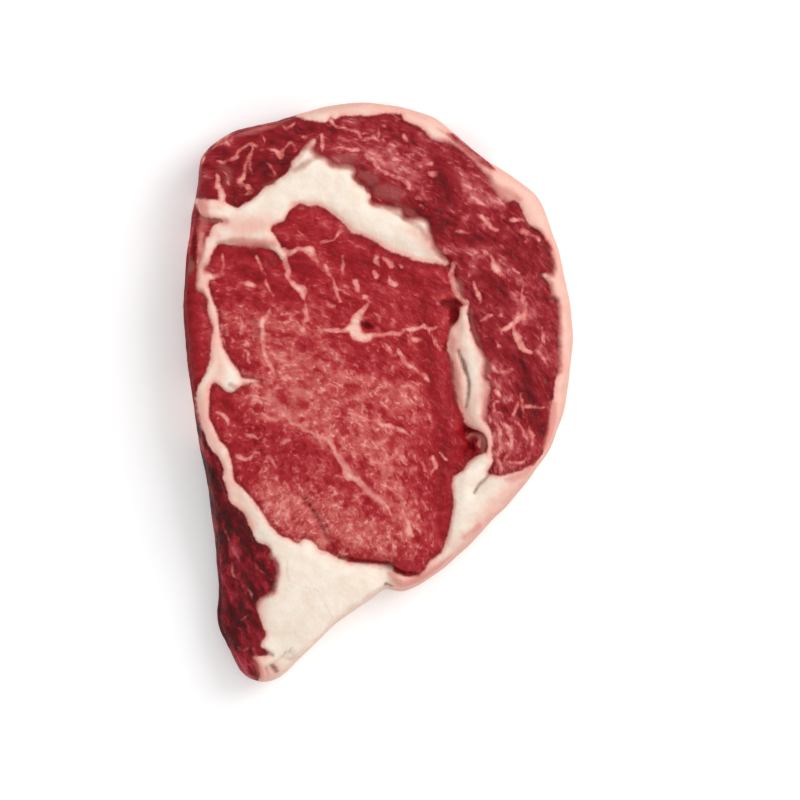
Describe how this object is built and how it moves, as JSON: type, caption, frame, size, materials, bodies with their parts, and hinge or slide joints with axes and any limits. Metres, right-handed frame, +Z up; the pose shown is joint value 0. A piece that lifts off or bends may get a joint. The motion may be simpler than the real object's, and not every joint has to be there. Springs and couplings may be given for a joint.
{
  "type": "raw ribeye steak",
  "caption": "Raw boneless beef steak lying flat: a thick slab with a rounded broad end, a narrow fatty tail, a rounded rim and a flat underside.",
  "frame": {"origin": "on the surface that the steak rests on, under the middle of its outline", "axes": "+Z up through the thickness, +Y along the length from the narrow tail to the broad end, +X to the side of the fat rind"},
  "size_m": [0.1344, 0.1999, 0.025],
  "materials": {
    "raw_beef": null
  },
  "bodies": {
    "root": {"ribeye_steak": "raw_beef"}
  },
  "joints": []
}
